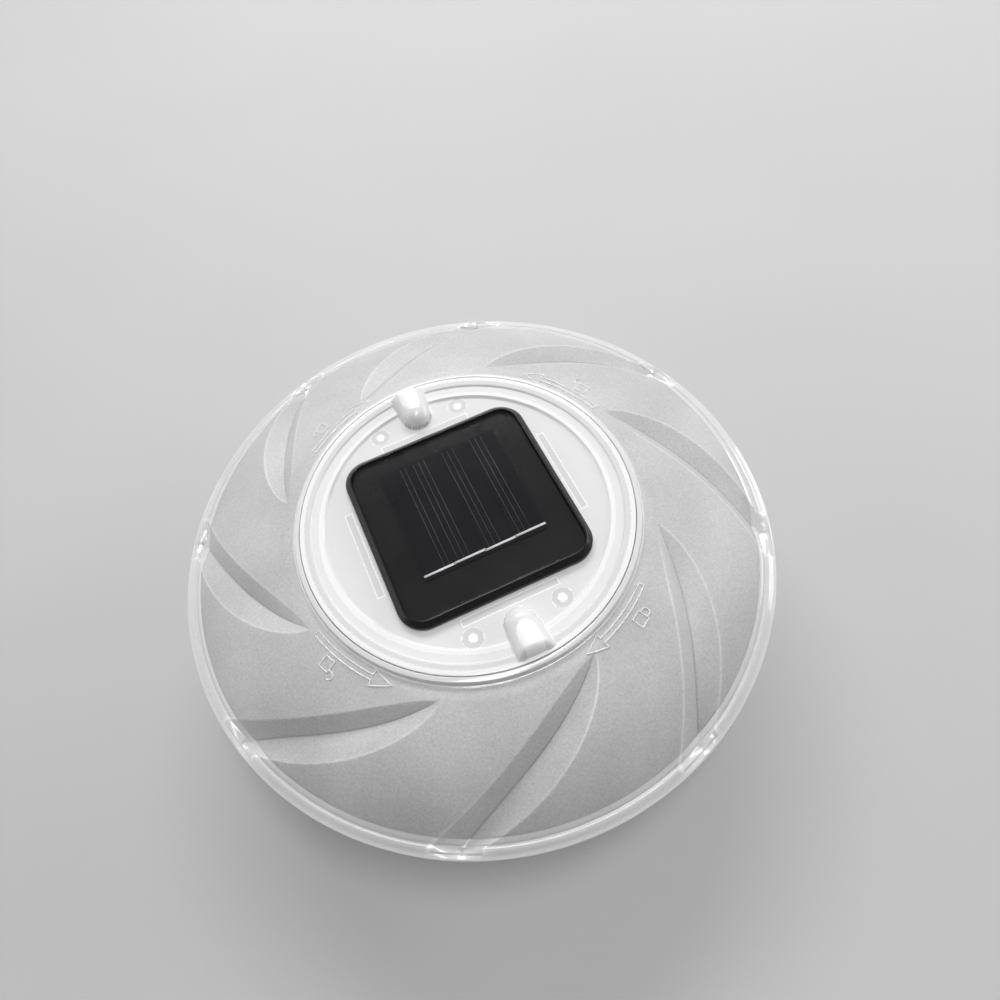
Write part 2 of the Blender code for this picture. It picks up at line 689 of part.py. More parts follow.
silicone = material("seal_silicone", (0.84, 0.84, 0.85), 0.45)
wire_red = material("red_insulation", (0.7, 0.02, 0.03), 0.45)
wire_black = material("black_insulation", (0.02, 0.02, 0.02), 0.45)

upper_float_shell()
lower_float_shell()
core_cap()
core_cup()
o_ring("core_o_ring", CORE_O_RING)
o_ring("lock_o_ring", LOCK_O_RING)
for number, spot in enumerate(screw_places(), start=1):
    screw(f"cap_screw_{number}", spot, HEAD_SEAT_Z - GAP, 54.8, 2.3, 1.0)
for number, spot in enumerate(post_places(), start=1):
    screw(f"board_screw_{number}", spot, BOARD_Z[1] + GAP, 26.2, 2.2, 0.8)
panel_tray()
solar_stack()
reflector_plate()
main_board()
for number in range(LEDS):
    lamp_led(number)
board_parts()
battery()
solar_wires()
power_button()
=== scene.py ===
"""A floating solar pool light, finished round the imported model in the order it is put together.

Profiles and outlines are given in millimetres and turned to metres as they become meshes.
The light stands on its foot, +Z up, with X and Y along the sides of the solar panel.
"""
import math

import bmesh
import bpy
import numpy as np
from mathutils import Matrix, Vector


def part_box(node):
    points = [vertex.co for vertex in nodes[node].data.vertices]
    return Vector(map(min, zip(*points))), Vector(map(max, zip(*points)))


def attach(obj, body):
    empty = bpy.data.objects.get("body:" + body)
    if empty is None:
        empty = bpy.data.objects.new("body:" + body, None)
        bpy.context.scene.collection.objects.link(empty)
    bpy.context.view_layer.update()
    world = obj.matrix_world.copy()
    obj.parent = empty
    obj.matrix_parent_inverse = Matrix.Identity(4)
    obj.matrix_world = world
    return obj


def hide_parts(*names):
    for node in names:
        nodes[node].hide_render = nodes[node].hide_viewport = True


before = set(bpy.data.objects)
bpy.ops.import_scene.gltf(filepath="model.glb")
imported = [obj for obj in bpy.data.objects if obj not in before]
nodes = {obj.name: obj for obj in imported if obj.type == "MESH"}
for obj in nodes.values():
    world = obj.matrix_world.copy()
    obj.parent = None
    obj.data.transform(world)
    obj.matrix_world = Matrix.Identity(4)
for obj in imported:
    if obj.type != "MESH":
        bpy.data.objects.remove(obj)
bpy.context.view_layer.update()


# ---------------------------------------------------------------------------
# Lower float shell. A bowl of frosted polycarbonate, moulded in one piece with a
# flat foot. Eight swirl grooves are pressed into it, and its flange is welded
# under the upper half.

MM = 0.001
rim_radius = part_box("lower_float_shell")[1].x / MM
rim_band = 5.4
frost_radius = rim_radius - rim_band
groove_end_radius = rim_radius - 0.9
wall = 1.6
foot_radius = 29.0
bowl_rise = 36.6
groove_count = 8
groove_tip_radius = 54.0
groove_tip_angle = 14.4
groove_run = 33.0
groove_depth = 3.0
lead_columns, trail_columns, flat_columns = 10, 14, 48


def swirl(radii):
    """Angle in degrees for every row and column of a float half, and each column's depth share.

    With run t from 0 at the groove's tip to 1 near the rim, the leading ridge lies at
    -45 t^0.55 degrees, the valley at -60.5 t + 21 t^2, the trailing ridge at -36 t^1.3.
    Columns sit on those three lines and are shared out evenly between them; the depth
    share rises from 0 on a ridge to 1 in the valley.
    """
    run = np.clip((radii - groove_tip_radius) / groove_run, 0.0, 1.0)[:, None]
    valley = -60.5 * run + 21.0 * run ** 2
    lead = valley - np.maximum(valley + 45.0 * run ** 0.55, 0.35)
    trail = valley + np.maximum(-36.0 * run ** 1.3 - valley, 0.35)
    down = np.arange(lead_columns) / lead_columns
    up = np.arange(trail_columns) / trail_columns
    flat = np.arange(flat_columns) / flat_columns
    pitch = 360.0 / groove_count
    one = np.concatenate([lead + (valley - lead) * down, valley + (trail - valley) * up,
                          trail + (lead + pitch - trail) * flat], axis=1)
    share = np.concatenate([down, 1.0 - up, 0.0 * flat])
    angles = np.concatenate([one + pitch * k for k in range(groove_count)], axis=1)
    return angles + groove_tip_angle, np.tile(share, groove_count)[None, :]


def groove_envelope(radii):
    """Full depth of the groove at a radius: eased in from the tip, run out across the rim.

    It is groove_depth (1 - (1 - t)^2) f^0.7: t rises from 0 at the tip to 1 early in the
    groove's run, and f falls from 1 at the edge of the frost to 0 where the groove ends.
    """
    run = np.clip((radii - groove_tip_radius) / groove_run * 2.6, 0.0, 1.0)
    fade = np.clip((groove_end_radius - radii) / (groove_end_radius - frost_radius), 0.0, 1.0)
    return groove_depth * (1.0 - (1.0 - run) ** 2) * fade ** 0.7


def skin(name, grid, wrap_rows=False, material=None, values=None):
    """Quad mesh over a (rows, columns, 3) grid of metres; columns wrap, poles are welded.

    Faces are turned round together if the mesh's signed volume comes out negative.
    values holds point attributes by name, one number for each point of the grid.
    """
    rows, columns = grid.shape[:2]
    index = np.arange(rows * columns).reshape(rows, columns)
    below = index if wrap_rows else index[:-1]
    above = np.roll(index, -1, 0) if wrap_rows else index[1:]
    faces = np.stack([below, np.roll(below, -1, 1), np.roll(above, -1, 1), above], -1).reshape(-1, 4)
    points = grid.reshape(-1, 3)
    corner = points[faces]
    volume = np.einsum("ij,ij->i", corner[:, 0], np.cross(corner[:, 1], corner[:, 2])).sum()
    volume += np.einsum("ij,ij->i", corner[:, 0], np.cross(corner[:, 2], corner[:, 3])).sum()
    if volume < 0:
        faces = faces[:, ::-1]
    mesh = bpy.data.meshes.new(name)
    mesh.vertices.add(len(points))
    mesh.vertices.foreach_set("co", points.astype(np.float32).ravel())
    mesh.loops.add(faces.size)
    mesh.loops.foreach_set("vertex_index", faces.astype(np.int32).ravel())
    mesh.polygons.add(len(faces))
    mesh.polygons.foreach_set("loop_start", np.arange(0, faces.size, 4, dtype=np.int32))
    mesh.update(calc_edges=True)
    for label, numbers in (values or {}).items():
        made = mesh.attributes.new(label, "FLOAT", "POINT")
        made.data.foreach_set("value", numbers.astype(np.float32).ravel())
    weld(mesh)
    piece = bpy.data.objects.new(name, mesh)
    bpy.context.scene.collection.objects.link(piece)
    if material:
        mesh.materials.append(material)
    return piece


def weld(mesh, distance=2e-7):
    """Merges points that fall together, such as a pole's, and drops faces with no area."""
    work = bmesh.new()
    work.from_mesh(mesh)
    bmesh.ops.remove_doubles(work, verts=work.verts, dist=distance)
    bmesh.ops.dissolve_degenerate(work, edges=work.edges, dist=distance)
    work.to_mesh(mesh)
    work.free()
    mesh.validate()


def smooth(piece, sharp_degrees=35.0):
    """Shades a piece smooth, with edges that turn more than sharp_degrees left sharp."""
    piece.data.shade_smooth()
    piece.data.set_sharp_from_angle(angle=math.radians(sharp_degrees))
    return piece


def polish_and_sheen_by_radius(piece, inner, outer):
    """Point attribute of how polished a point is, and of its painted sheen: 1 on the collar, 0.6 on the
    rim band, 0 on the frost between.
    """
    points = np.empty(len(piece.data.vertices) * 3, np.float32)
    piece.data.vertices.foreach_get("co", points)
    radius = np.hypot(points[0::3], points[1::3]) / MM
    # The same number whitens the colour: a painted sheen on the polished parts.
    bright = np.where(radius < inner, 1.0, np.where(radius > outer, 0.6, 0.0))
    piece.data.attributes.new("polish_and_sheen", "FLOAT", "POINT").data.foreach_set("value", bright)


full_crease_depth = 1.2


def float_half(profile, sink):
    """A float half: its profile's rows turned over the swirl's columns, and its painted groove shading.

    A point is (r cos a, r sin a, z + sink times the groove's depth there). sink is 1 or -1
    where a profile point follows the grooves up or down, and 0 where it does not.
    The groove shading is 1 along a groove's two ridges and -1 along its valley, and less where
    the groove is shallower than full_crease_depth: a painted highlight on the ridges, painted shade in
    the valley.
    """
    profile = np.array(profile, float)
    radii, heights = profile[:, 0], profile[:, 1]
    angles, share = swirl(radii)
    angles = np.radians(angles)
    depth = share * (groove_envelope(radii) * np.array(sink))[:, None]
    x = radii[:, None] * np.cos(angles)
    y = radii[:, None] * np.sin(angles)
    z = heights[:, None] + depth
    # Painted light along the grooves: a highlight on each ridge, shade in each valley.
    column = np.arange(angles.shape[1]) % (angles.shape[1] // groove_count)
    ridge = (column == 0) | (column == lead_columns + trail_columns)
    line = np.where(ridge, 1.0, np.where(column == lead_columns, -1.0, 0.0))
    crease_shading = line * np.clip(np.abs(depth).max(1) / full_crease_depth, 0.0, 1.0)[:, None]
    return np.stack([x, y, z], -1) * MM, crease_shading


def grain_noise(tree, scale, detail, roughness=0.5):
    """Fractal noise on the piece's own coordinates; each octave is roughness times the last."""
    place = tree.nodes.new("ShaderNodeTexCoord")
    noise = tree.nodes.new("ShaderNodeTexNoise")
    noise.inputs["Scale"].default_value = scale
    noise.inputs["Detail"].default_value = detail
    noise.inputs["Roughness"].default_value = roughness
    tree.links.new(place.outputs["Object"], noise.inputs["Vector"])
    return noise.outputs["Fac"]


def tint_ramp(tree, value, low, high):
    """Colour that runs evenly between two (position, colour) stops of a 0 to 1 value."""
    ramp = tree.nodes.new("ShaderNodeValToRGB")
    for stop, (position, colour) in zip(ramp.color_ramp.elements, (low, high)):
        stop.position = position
        stop.color = (*colour, 1.0)
    tree.links.new(value, ramp.inputs["Fac"])
    return ramp.outputs["Color"]


def share_out(tree, value, low, high, value_low=0.0, value_high=1.0):
    """Runs evenly from low to high as the value goes from value_low to value_high."""
    spread = tree.nodes.new("ShaderNodeMapRange")
    spread.inputs["From Min"].default_value = value_low
    spread.inputs["From Max"].default_value = value_high
    spread.inputs["To Min"].default_value = low
    spread.inputs["To Max"].default_value = high
    tree.links.new(value, spread.inputs["Value"])
    return spread.outputs["Result"]


def point_value(tree, label):
    """The number that a piece's points carry under a label."""
    attribute = tree.nodes.new("ShaderNodeAttribute")
    attribute.attribute_name = label
    return attribute.outputs["Fac"]


def colour_mix(tree, factor, colour, other):
    """The colour, turned towards another, fixed one as the factor goes from 0 to 1."""
    mix = tree.nodes.new("ShaderNodeMix")
    mix.data_type = "RGBA"  # its colours are inputs 6 and 7, its result is output 2
    mix.inputs[7].default_value = (*other, 1.0)
    tree.links.new(factor, mix.inputs[0])
    tree.links.new(colour, mix.inputs[6])
    return mix.outputs[2]


def fine_bump(tree, height, distance, strength):
    """Normals tilted by a height pattern; strength is a number or another node's value."""
    bump = tree.nodes.new("ShaderNodeBump")
    bump.inputs["Distance"].default_value = distance
    if isinstance(strength, float):
        bump.inputs["Strength"].default_value = strength
    else:
        tree.links.new(strength, bump.inputs["Strength"])
    tree.links.new(height, bump.inputs["Height"])
    return bump.outputs["Normal"]


def new_finish(name):
    """A new material, its node tree and its surface shader."""
    made = bpy.data.materials.new(name)
    made.use_nodes = True
    return made, made.node_tree, made.node_tree.nodes["Principled BSDF"]


plastic_ior = 1.49
frost_dark, frost_light = (0.60, 0.595, 0.60), (0.82, 0.815, 0.82)
frost_transmission = 0.3
frost_roughness, polished_roughness = 0.42, 0.08
# Colour scales for painted shade in a groove's valley and a painted highlight on its ridges.
valley_painted_shade, ridge_painted_highlight = 0.72, 1.28


def frosted_plastic(name):
    """Frosted clear polycarbonate: fine spark-eroded grain; polished, and whitened as a painted sheen,
    where the point attribute for polishing is 1.

    The colour is scaled along the creases as painted light: painted shade darkens a valley and a painted
    highlight lightens a ridge.
    """
    made, tree, shader = new_finish(name)
    shader.inputs["IOR"].default_value = plastic_ior
    shader.inputs["Transmission Weight"].default_value = frost_transmission
    polish_and_sheen = point_value(tree, "polish_and_sheen")
    grain = grain_noise(tree, 1500.0, 4.0, 0.7)
    cloud = grain_noise(tree, 38.0, 5.0)
    blend = tree.nodes.new("ShaderNodeMix")
    blend.data_type = "FLOAT"
    blend.inputs["Factor"].default_value = 0.62
    tree.links.new(cloud, blend.inputs["A"])
    tree.links.new(grain, blend.inputs["B"])
    frost = tint_ramp(tree, blend.outputs["Result"], (0.36, frost_dark), (0.64, frost_light))
    shaded = tree.nodes.new("ShaderNodeVectorMath")
    shaded.operation = "SCALE"
    # Painted shade in the groove valleys and a painted highlight on the ridges.
    crease_shade_scale = share_out(tree, point_value(tree, "crease_shading"), valley_painted_shade, ridge_painted_highlight, -1.0, 1.0)
    # Polishing also whitens the frost: a painted sheen on the polished collar, rim band, foot and marks.
    tree.links.new(colour_mix(tree, polish_and_sheen, frost, (1.0, 1.0, 1.0)), shaded.inputs[0])
    tree.links.new(crease_shade_scale, shaded.inputs["Scale"])
    tree.links.new(shaded.outputs["Vector"], shader.inputs["Base Color"])
    rough = share_out(tree, polish_and_sheen, frost_roughness, polished_roughness, 0.0, 0.5)
    tree.links.new(rough, shader.inputs["Roughness"])
    strength = share_out(tree, polish_and_sheen, 0.30, 0.0, 0.0, 0.5)
    tree.links.new(fine_bump(tree, grain, 0.0002, strength), shader.inputs["Normal"])
    return made


def bowl_height(radius):
    """Height of the bowl: 0.29 straight and 0.71 square share of the way out from the foot."""
    run = (radius - foot_radius) / (frost_radius - foot_radius)
    return bowl_rise * (0.29 * run + 0.71 * run * run)


frosted = frosted_plastic("frosted_float")

lower_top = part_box("lower_float_shell")[1].z / MM
flange_inner = 83.6
flange_edge = [(90.0, lower_top - 0.65), (89.7, 38.9), (88.6, 38.75), (88.2, 38.3), (87.3, 38.05),
               (86.8, 38.3), (86.4, 38.0), (85.6, 37.5), (85.0, 37.2)]
bowl_radii = np.concatenate([np.linspace(frost_radius, 52.0, 76),
                             np.linspace(50.5, foot_radius + 0.4, 14)])
bowl = [(r, bowl_height(r)) for r in bowl_radii]
foot = [(foot_radius - 0.3, 0.0), (20.0, 0.0), (0.0, 0.0)]
inside_radii = np.linspace(foot_radius - 0.6, frost_radius - 1.4, 40)
floor_inside = [(0.0, wall), (20.0, wall)]
bowl_inside = [(r, bowl_height(max(r + 0.9, foot_radius)) + wall) for r in inside_radii]
flange_top = [(flange_inner, lower_top), (90.0, lower_top)]
lower_profile = flange_top + flange_edge + bowl + foot + floor_inside + bowl_inside
lower_sink = ([0] * (len(flange_top) + 1) + [1] * (len(flange_edge) - 1 + len(bowl))
              + [0] * (len(foot) + len(floor_inside)) + [1] * len(bowl_inside))

lower_grid, lower_crease_shading = float_half(lower_profile, lower_sink)
lower_float = skin("lower_float", lower_grid, wrap_rows=True, material=frosted,
                   values={"crease_shading": lower_crease_shading})
polish_and_sheen_by_radius(lower_float, foot_radius, frost_radius + 0.05)
smooth(lower_float)
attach(lower_float, "float")
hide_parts("lower_float_shell")


# ---------------------------------------------------------------------------
# Upper float shell. The dome, of the same frosted plastic, with a polished rim
# band and a collar that rises round the core. Three ledges inside its neck hold
# the core's lugs.

dome_edge_height = 56.9


def dome_height(radius):
    """Height of the dome: a slight slope that steepens with the cube of the run out.

    Inside the groove tips it rises towards the collar by 0.278 (1 - e^(run / 1.2)).
    """
    run = np.asarray(radius, float) - groove_tip_radius
    inner = 0.278 * (1.0 - np.exp(np.minimum(run, 0.0) / 1.2))
    outer = -0.232 * np.maximum(run, 0.0) - 2.235e-4 * np.maximum(run, 0.0) ** 3
    return dome_edge_height + inner + outer


weld_gap = 0.3
flange_low = lower_top + weld_gap
collar = [(48.25, 54.6), (48.25, 58.85), (48.45, 59.08), (48.7, 59.08), (49.6, 58.85), (49.85, 58.4),
          (50.0, 57.5), (50.15, 57.3), (50.4, 57.3)]
dome_radii = np.concatenate([np.linspace(50.7, 53.6, 8), np.linspace(54.0, frost_radius, 84)])
dome = [(r, float(dome_height(r))) for r in dome_radii]
rim = [(84.95, 42.78), (85.5, 42.6), (86.2, 42.3), (86.5, 41.85), (86.8, 41.85), (87.2, 42.05),
       (88.1, 41.85), (88.6, 41.35), (89.5, 41.18), (89.9, 41.0)]
rim_edge = [(90.0, 40.7), (90.0, flange_low), (flange_inner, flange_low)]
under_radii = np.linspace(frost_radius - 1.5, groove_tip_radius, 40)
under = [(r, float(dome_height(r + 0.7)) - wall) for r in under_radii]
neck_radius, ledge_radius = 46.6, 44.9
neck = [(52.0, 55.0), (48.2, 53.0), (48.2, 44.5), (neck_radius, 44.5), (neck_radius, 46.5),
        (neck_radius, 46.7), (neck_radius, 54.6)]
upper_profile = collar + dome + rim + rim_edge + under + neck
upper_sink = ([0] * len(collar) + [-1] * len(dome + rim) + [0] * len(rim_edge)
              + [-1] * len(under) + [0] * len(neck))

upper_grid, upper_crease_shading = float_half(upper_profile, upper_sink)


sector_half_angle = 13.0


def bayonet_sectors(grid, rows, from_radius, to_radius):
    """Moves some rows of a wall in or out over three sectors, a third of a turn apart.

    The first is centred on 90 degrees; a point is in one when its angle from the nearest
    centre is under sector_half_angle.
    """
    ring = grid[rows]
    angle = np.degrees(np.arctan2(ring[..., 1], ring[..., 0]))
    offset = np.abs((angle - 90.0 + 60.0) % 120.0 - 60.0)
    radius = np.where(offset < sector_half_angle, to_radius, from_radius)
    scale = radius / from_radius
    ring[..., 0] *= scale
    ring[..., 1] *= scale
    grid[rows] = ring


ledge_rows = [len(upper_profile) - 4, len(upper_profile) - 3]
bayonet_sectors(upper_grid, ledge_rows, neck_radius, ledge_radius)
upper_float = skin("upper_float", upper_grid, wrap_rows=True, material=frosted,
                   values={"crease_shading": upper_crease_shading})
polish_and_sheen_by_radius(upper_float, 50.55, frost_radius + 0.05)
smooth(upper_float)
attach(upper_float, "float")
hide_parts("upper_float_shell")


# ---------------------------------------------------------------------------
# Lock marks. Fine raised lines moulded on the dome beside each thumb grip: an
# open padlock with an arrow one way, a closed padlock with an arrow the other.

line_radius = 0.26
bead_step = 0.3


def bead(paths, closed_flags, sides=6):
    """Round beads carried along (radius, angle) paths on the dome, one grid for each path.

    A ring of sides points, cos t across the path and sin t away from the dome, goes round
    each step of the path; an open path ends in poles.
    """
    grids = []
    for path, closed in zip(paths, closed_flags):
        path = np.array(path, float)
        if closed:
            path = np.vstack([path, path[:1]])
        lengths = np.linalg.norm(np.diff(path * [1, 0.9], axis=0), axis=1)
        counts = np.maximum(2, (lengths / bead_step).astype(int))
        runs = [np.linspace(a, b, n, endpoint=False) for a, b, n in zip(path[:-1], path[1:], counts)]
        line = np.vstack(runs + ([] if closed else [path[-1:]]))
        radius, angle = line[:, 0], np.radians(line[:, 1])
        centre = np.stack([radius * np.cos(angle), radius * np.sin(angle), dome_height(radius)], -1)
        if closed:
            ahead = np.roll(centre, -1, 0) - np.roll(centre, 1, 0)
        else:
            ahead = np.gradient(centre, axis=0)
        ahead /= np.linalg.norm(ahead, axis=1)[:, None]
        up = np.array([0.0, 0.0, 1.0])
        side = np.cross(ahead, up)
        side /= np.linalg.norm(side, axis=1)[:, None]
        lift = np.cross(side, ahead)
        turn = 2 * np.pi * np.arange(sides) / sides
        across, away = np.cos(turn)[None, :, None], np.sin(turn)[None, :, None]
        grid = centre[:, None] + (across * side[:, None] + away * lift[:, None]) * line_radius
        if not closed:
            start, end = centre[:1, None].repeat(sides, 1), centre[-1:, None].repeat(sides, 1)
            grid = np.concatenate([start, grid, end])
        grids.append((grid * MM, closed))
    return grids


def arrow(radius, tail, neck_at, tip):
    """Outline of an arrow along a circle: a narrow shaft and a wide pointed head."""
    half_shaft, half_head = 0.75, 2.2
    return [(radius - half_shaft, neck_at), (radius - half_head, neck_at), (radius, tip),
            (radius + half_head, neck_at), (radius + half_shaft, neck_at), (radius + half_shaft, tail),
            (radius - half_shaft, tail)]


def padlock(radius, angle, way, is_open):
    """Outline of a padlock body and, beyond it, its hoop, which stands clear when open.

    The hoop goes up one leg and round half a circle, and a closed one comes down again.
    """
    degrees_per_mm = 57.3 / radius * way
    half_body, half_hoop, leg = 1.6, 1.05, 0.9
    low, high = angle - half_body * degrees_per_mm, angle + half_body * degrees_per_mm
    body = [(radius - half_body, low), (radius + half_body, low), (radius + half_body, high),
            (radius - half_body, high)]
    centre = radius + (1.9 if is_open else 0.0)
    hoop = [(centre - half_hoop, high)]
    for turn in np.linspace(0.0, np.pi, 9):
        hoop.append((centre - half_hoop * math.cos(turn), high + degrees_per_mm * (leg + math.sin(turn))))
    if not is_open:
        hoop.append((centre + half_hoop, high))
    return body, hoop


def gathered(name, parts, material, turned_by=0.0):
    """Several closed bodies as one mesh, turned about the upright axis."""
    joined = bmesh.new()
    for part in parts:
        joined.from_mesh(part.data)
        data = part.data
        bpy.data.objects.remove(part)
        bpy.data.meshes.remove(data)
    if turned_by:
        turn = Matrix.Rotation(turned_by, 3, "Z")
        bmesh.ops.rotate(joined, verts=joined.verts, cent=(0, 0, 0), matrix=turn)
    mesh = bpy.data.meshes.new(name)
    joined.to_mesh(mesh)
    joined.free()
    mesh.materials.append(material)
    piece = bpy.data.objects.new(name, mesh)
    bpy.context.scene.collection.objects.link(piece)
    return piece


def mark(name, paths, closed_flags, turned_by):
    """One mark as a mesh of separate beads, turned about the float's axis."""
    strokes = [skin("stroke", grid, wrap_rows=closed) for grid, closed in bead(paths, closed_flags)]
    piece = gathered(name, strokes, frosted, turned_by)
    # A mark is fully polished, which whitens it: a painted highlight along its raised lines.
    polish_and_sheen_by_radius(piece, rim_radius, rim_radius)
    smooth(piece, 60.0)
    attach(piece, "float")


arrow_radius = 53.0
open_body, open_hoop = padlock(56.6, -154.1, 1, True)
shut_body, shut_hoop = padlock(57.0, -59.8, 1, False)
unlock_arrow = arrow(arrow_radius, -162.7, -140.7, -134.3)
lock_arrow = arrow(arrow_radius, -50.8, -71.5, -77.4)
for half, turned_by in (("near", 0.0), ("far", math.pi)):
    mark(f"unlock_mark_{half}", [unlock_arrow, open_body, open_hoop], [True, True, False], turned_by)
    mark(f"lock_mark_{half}", [lock_arrow, shut_body, shut_hoop], [True, True, False], turned_by)


# ---------------------------------------------------------------------------
# Core cup. A clear moulded cup that hangs in the float: flange, seal groove,
# three bayonet lugs, four screw columns and two posts for the board.

def softened(outline, reach, closed=True, steps=4):
    """An outline with each corner swapped for a curve that starts and ends reach along its sides.

    The curve is (1-t)^2 A + 2t(1-t) corner + t^2 B, with A and B on the two sides.
    """
    here = np.array(outline, float)
    back = np.roll(here, 1, 0) - here
    ahead = np.roll(here, -1, 0) - here
    back_length = np.linalg.norm(back, axis=1)[:, None]
    ahead_length = np.linalg.norm(ahead, axis=1)[:, None]
    start = here + back / back_length * np.minimum(reach, back_length * 0.45)
    end = here + ahead / ahead_length * np.minimum(reach, ahead_length * 0.45)
    t = np.linspace(0.0, 1.0, steps)[:, None, None]
    curve = (1 - t) ** 2 * start + 2 * t * (1 - t) * here + t ** 2 * end
    curve = curve.transpose(1, 0, 2)
    if not closed:
        middle = curve[1:-1].reshape(-1, 2)
        return np.vstack([here[:1], middle, here[-1:]])
    return curve.reshape(-1, 2)


def turned_grid(profile, columns, centre=(0.0, 0.0)):
    """Points (r cos a, r sin a, z) of a profile turned about an upright axis, in metres."""
    profile = np.array(profile, float)
    angle = 2 * np.pi * np.arange(columns) / columns
    x = profile[:, :1] * np.cos(angle) + centre[0]
    y = profile[:, :1] * np.sin(angle) + centre[1]
    z = profile[:, 1:] + 0.0 * angle
    return np.stack([x, y, z], -1) * MM


def turned(name, profile, columns, material, centre=(0.0, 0.0), closed=False):
    """A turned piece; a closed profile meets itself, an open one ends on the axis."""
    return smooth(skin(name, turned_grid(profile, columns, centre), closed, material))


def join_to(piece, *tools, operation="UNION"):
    """Boolean of closed meshes, applied at once; the tools are removed."""
    for tool in tools:
        step = piece.modifiers.new("join", "BOOLEAN")
        step.operation = operation
        step.solver = "MANIFOLD"
        step.object = tool
        graph = bpy.context.evaluated_depsgraph_get()
        mesh = bpy.data.meshes.new_from_object(piece.evaluated_get(graph))
        piece.modifiers.remove(step)
        old = piece.data
        piece.data = mesh
        bpy.data.meshes.remove(old)
        data = tool.data
        bpy.data.objects.remove(tool)
        bpy.data.meshes.remove(data)
    return piece


def plain_rod(radius, low, high, centre, columns=32):
    """Closed round bar between two heights, to be joined to or cut from a piece."""
    outline = [(0.0, high), (radius, high), (radius, low), (0.0, low)]
    return skin("tool", turned_grid(outline, columns, centre))


def clear_plastic(name, tint, roughness, transmission):
    """Clear moulded plastic with faint flow waves. Where the point attribute "section" nears
    1 it scatters light and looks white, and at 0 it lets most of the light through."""
    made, tree, shader = new_finish(name)
    shader.inputs["IOR"].default_value = plastic_ior
    shader.inputs["Specular IOR Level"].default_value = 0.3
    waves = grain_noise(tree, 60.0, 2.0)
    section = point_value(tree, "section")
    thin = tint_ramp(tree, waves, (0.35, tint[0]), (0.65, tint[1]))
    tree.links.new(colour_mix(tree, section, thin, (1.0, 1.0, 1.0)), shader.inputs["Base Color"])
    through = share_out(tree, section, transmission, transmission * 0.05)
    tree.links.new(through, shader.inputs["Transmission Weight"])
    rough = share_out(tree, waves, roughness * 0.8, roughness * 1.2)
    tree.links.new(rough, shader.inputs["Roughness"])
    tree.links.new(fine_bump(tree, waves, 0.0003, 0.05), shader.inputs["Normal"])
    return made


clear = clear_plastic("clear_core", ((0.62, 0.60, 0.625), (0.69, 0.69, 0.70)), 0.08, 0.7)
screw_x, screw_y = 13.0, 35.6
screw_places = [(x, y) for x in (-screw_x, screw_x) for y in (-screw_y, screw_y)]
column_top, counterbore_top = 48.9, 45.9
post_x, post_top = 34.5, 30.0
button_place = (0.0, -29.0)
floor_low, floor_top = 22.5, 24.1
cup_radius, flange_radius, lug_radius = 44.5, 47.9, 45.9
cup_inside = [(0.0, floor_top), (40.8, floor_top), (42.3, 25.1), (42.9, 27.1), (42.9, 56.1)]
seal_groove = [(flange_radius, 56.1), (flange_radius, 54.9), (cup_radius, 54.9), (cup_radius, 52.8),
               (lug_radius, 52.8), (lug_radius, 51.6), (cup_radius, 51.6), (cup_radius, 44.2)]
lug_wall = [(cup_radius, 44.1), (cup_radius, 42.1)]
cup_outside = [(cup_radius, 42.0), (cup_radius, 27.0), (43.4, 24.0), (41.2, floor_low), (0.0, floor_low)]
cup_profile = np.array(cup_inside + seal_groove + lug_wall + cup_outside)
first_lug_row = len(cup_inside) + len(seal_groove)
cup_grid = turned_grid(cup_profile, 240)
bayonet_sectors(cup_grid, [first_lug_row, first_lug_row + 1], cup_radius, lug_radius)
core_cup = skin("core_cup_fine", cup_grid, material=clear)
for place in screw_places:
    join_to(core_cup, plain_rod(4.0, floor_low + 0.4, column_top, place))
    join_to(core_cup, plain_rod(2.7, floor_low - 1, counterbore_top, place),
            plain_rod(1.4, 44.0, 50.0, place), operation="DIFFERENCE")
for side in (-post_x, post_x):
    join_to(core_cup, plain_rod(2.6, floor_low + 0.4, post_top, (side, 0.0)))
    join_to(core_cup, plain_rod(1.1, floor_top + 1.5, post_top + 2, (side, 0.0)), operation="DIFFERENCE")
join_to(core_cup, plain_rod(3.9, floor_low - 1, floor_top + 1, button_place), operation="DIFFERENCE")
smooth(core_cup)
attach(core_cup, "core")
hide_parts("core_cup")


# ---------------------------------------------------------------------------
# Seals. White silicone: one O-ring between the cup and the float's neck, one
# between cap and cup, and a flat washer round the button's stem.

def plain_finish(name, colour, roughness, metallic=0.0, grain=900.0, bump_strength=0.1,
                 specular=0.5, alpha=1.0):
    """A moulded, plated or drawn finish: slight colour drift, uneven gloss and fine grain."""
    made, tree, shader = new_finish(name)
    shader.inputs["Metallic"].default_value = metallic
    shader.inputs["Specular IOR Level"].default_value = specular
    shader.inputs["Alpha"].default_value = alpha
    drift = grain_noise(tree, 120.0, 3.0)
    fine = grain_noise(tree, grain, 3.0)
    dark = tuple(c * 0.86 for c in colour)
    light = tuple(min(c * 1.12, 1.0) for c in colour)
    tree.links.new(tint_ramp(tree, drift, (0.3, dark), (0.7, light)), shader.inputs["Base Color"])
    rough = share_out(tree, fine, roughness * 0.75, min(roughness * 1.25, 1.0))
    tree.links.new(rough, shader.inputs["Roughness"])
    tree.links.new(fine_bump(tree, fine, 0.0001, bump_strength), shader.inputs["Normal"])
    return made


seal_rubber = plain_finish("seal_rubber", (0.84, 0.84, 0.85), 0.45)
o_rings = (("lock_o_ring", 45.55, 0.75, 53.85), ("core_o_ring", 45.6, 0.55, 56.98))
for name, ring_radius, section, height in o_rings:
    turn = -2 * np.pi * np.arange(20) / 20
    profile = np.stack([ring_radius + section * np.cos(turn), height + section * np.sin(turn)], -1)
    o_ring = turned(name + "_fine", profile, 240, seal_rubber, closed=True)
    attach(o_ring, "core")
    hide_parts(name)

